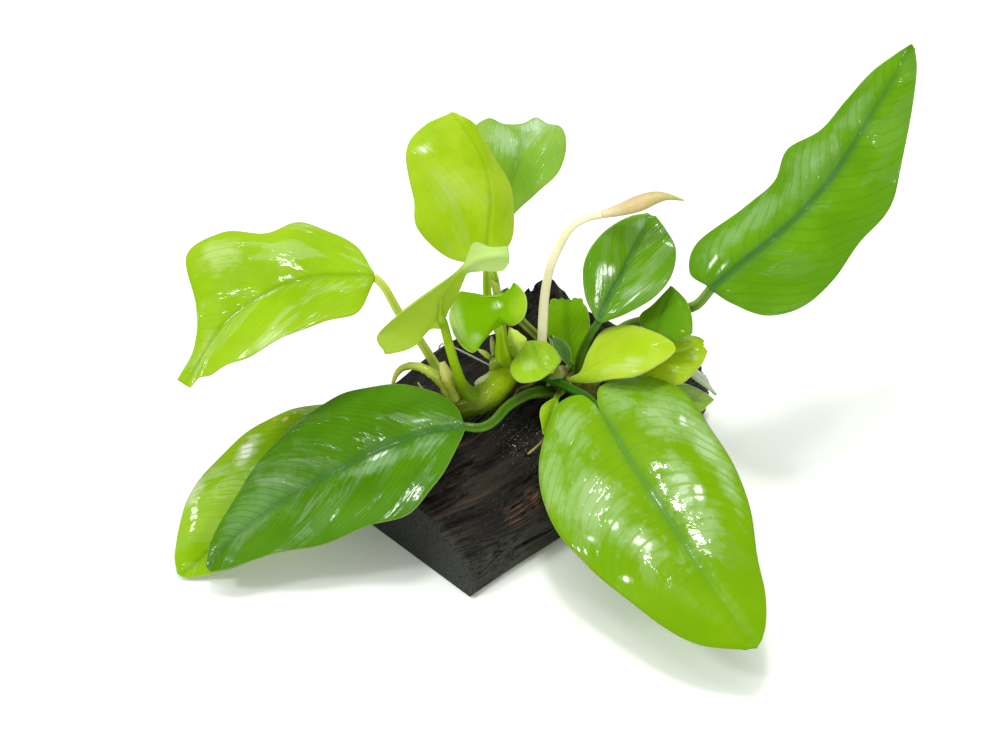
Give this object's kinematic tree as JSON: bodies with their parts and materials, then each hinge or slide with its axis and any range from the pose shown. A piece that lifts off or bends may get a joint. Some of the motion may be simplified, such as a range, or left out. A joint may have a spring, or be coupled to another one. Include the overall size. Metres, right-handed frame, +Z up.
{
  "type": "golden anubias nana on driftwood",
  "caption": "Small aquarium plant with oval golden and green leaves and one flower, tied by its rhizome to a flat-bottomed chunk of dark driftwood.",
  "frame": {"origin": "on the floor, on the driftwood's sawn-flat underside near its middle", "axes": "+Z up; -Y towards the viewer of the picture; +X to the viewer's right, along the plant's longest extent"},
  "size_m": [0.1341, 0.0934, 0.0801],
  "materials": {
    "wet_driftwood": "satin",
    "green_rhizome": "gloss",
    "golden_leaf": "gloss",
    "pale_leaf": "satin",
    "fresh_leaf": "gloss",
    "deep_green_leaf": "gloss",
    "blue_green_leaf": "gloss",
    "cream_flower": "satin",
    "peach_flower": "satin",
    "dry_sheath": "satin",
    "brown_root": "matte",
    "clear_line": "gloss"
  },
  "bodies": {
    "root": {"driftwood": "wet_driftwood", "rhizome": "green_rhizome", "leaf_far_left": "golden_leaf", "leaf_top_front": "golden_leaf", "leaf_top_back": "blue_green_leaf", "leaf_curled": "pale_leaf", "leaf_saddle": "fresh_leaf", "leaf_far_right": "deep_green_leaf", "leaf_round": "deep_green_leaf", "leaf_torn_dark": "deep_green_leaf", "leaf_torn_pale": "fresh_leaf", "leaf_young": "golden_leaf", "leaf_back_cut": "deep_green_leaf", "leaf_folded": "deep_green_leaf", "leaf_cupped": "golden_leaf", "leaf_front_left": "deep_green_leaf", "leaf_low_left": "golden_leaf", "leaf_front_right": "fresh_leaf", "leaf_low_right": "deep_green_leaf", "leaf_sliver": "pale_leaf", "leaf_small_curled": "golden_leaf", "flower_stalk": "cream_flower", "flower_spathe": "peach_flower", "old_stalk": "deep_green_leaf", "sheath_arched": "dry_sheath", "sheath_torn": "dry_sheath", "sheath_brown": "brown_root", "sheath_pointed": "dry_sheath", "root_loop": "brown_root", "root_forked": "brown_root", "root_left": "brown_root", "tie_line": "clear_line"}
  },
  "joints": []
}
